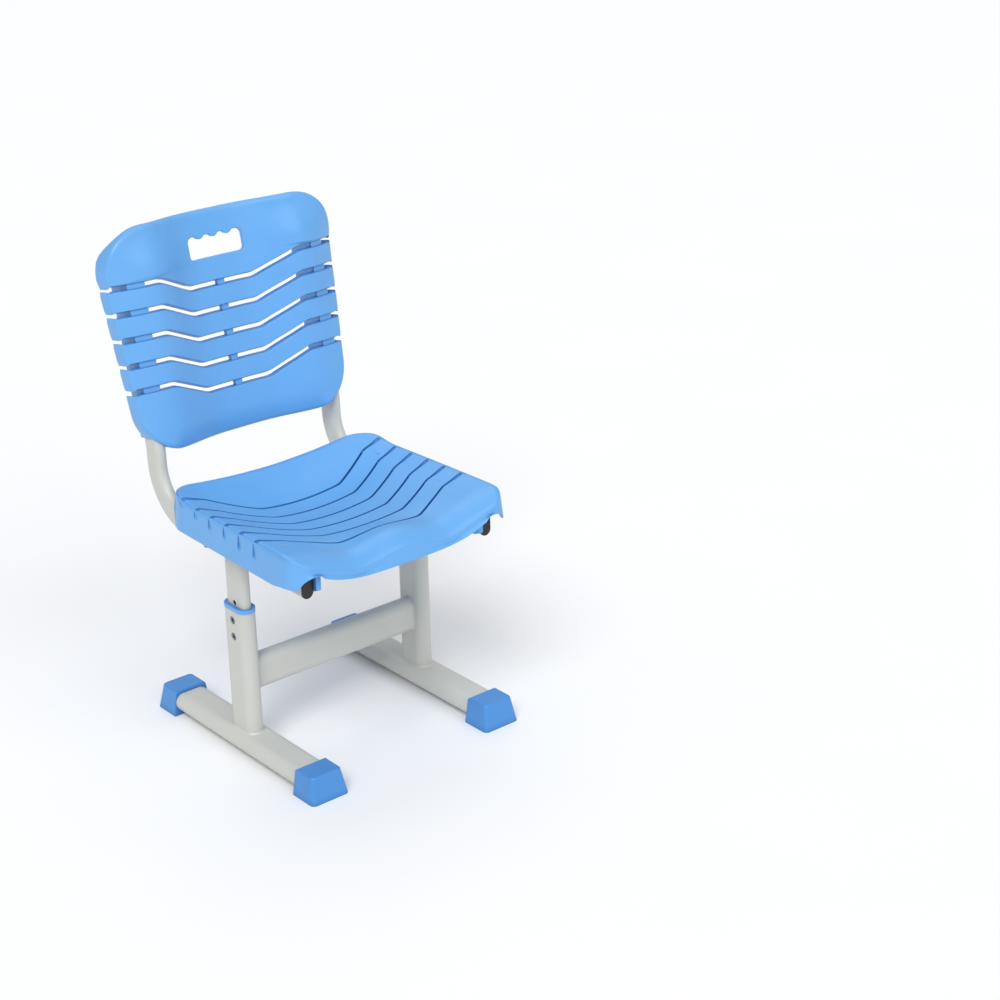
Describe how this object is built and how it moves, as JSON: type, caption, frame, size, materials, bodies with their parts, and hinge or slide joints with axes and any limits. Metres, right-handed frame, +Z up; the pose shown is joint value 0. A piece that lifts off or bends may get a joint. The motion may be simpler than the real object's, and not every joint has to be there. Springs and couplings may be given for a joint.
{
  "type": "student desk chair",
  "caption": "Height-adjustable classroom chair: dished plastic seat and slatted backrest with a hand grip on two telescoping column legs with floor rails.",
  "frame": {"origin": "on the floor under the middle of the whole chair", "axes": "+Z up, the sitter faces -Y, +X to the sitter's left"},
  "size_m": [0.4268, 0.5174, 0.8021],
  "materials": {
    "grey_powder_coat": "warm light grey powder coat, fine satin texture",
    "blue_plastic": "sky-blue injection-moulded polypropylene, soft satin",
    "black_plastic": "black moulded plastic",
    "zinc_steel": "zinc plated and oiled steel"
  },
  "bodies": {
    "base": {"crossbeam": "grey_powder_coat", "floor_rail_right": "grey_powder_coat", "foot_cap_front_right": "blue_plastic", "foot_cap_rear_right": "blue_plastic", "outer_column_right": "grey_powder_coat", "column_collar_right": "blue_plastic", "screw_bushes_right": "zinc_steel", "floor_rail_left": "grey_powder_coat", "foot_cap_front_left": "blue_plastic", "foot_cap_rear_left": "blue_plastic", "outer_column_left": "grey_powder_coat", "column_collar_left": "blue_plastic", "screw_bushes_left": "zinc_steel"},
    "seat_carrier": {"front_brace": "grey_powder_coat", "rear_brace": "grey_powder_coat", "seat_pan": "blue_plastic", "seat_screws": "zinc_steel", "backrest_shell": "blue_plastic", "backrest_screws": "zinc_steel", "inner_column_right": "grey_powder_coat", "glide_shoe_right": "black_plastic", "side_tube_right": "grey_powder_coat", "tube_plug_right": "black_plastic", "inner_column_left": "grey_powder_coat", "glide_shoe_left": "black_plastic", "side_tube_left": "grey_powder_coat", "tube_plug_left": "black_plastic"},
    "lock_screw_upper_right": {"lock_screw_upper_right": "zinc_steel"},
    "lock_screw_lower_right": {"lock_screw_lower_right": "zinc_steel"},
    "lock_screw_upper_left": {"lock_screw_upper_left": "zinc_steel"},
    "lock_screw_lower_left": {"lock_screw_lower_left": "zinc_steel"}
  },
  "joints": [
    {"name": "height_adjust", "type": "slide", "parent": "base", "child": "seat_carrier", "axis": [0, 0, 1], "range_m": [-0.028, 0.084]},
    {"name": "lock_screw_upper_right_travel", "type": "slide", "parent": "base", "child": "lock_screw_upper_right", "axis": [1, 0, 0], "range_m": [-0.0025, 0.002]},
    {"name": "lock_screw_lower_right_travel", "type": "slide", "parent": "base", "child": "lock_screw_lower_right", "axis": [1, 0, 0], "range_m": [-0.0025, 0.002]},
    {"name": "lock_screw_upper_left_travel", "type": "slide", "parent": "base", "child": "lock_screw_upper_left", "axis": [-1, 0, 0], "range_m": [-0.0025, 0.002]},
    {"name": "lock_screw_lower_left_travel", "type": "slide", "parent": "base", "child": "lock_screw_lower_left", "axis": [-1, 0, 0], "range_m": [-0.0025, 0.002]}
  ]
}
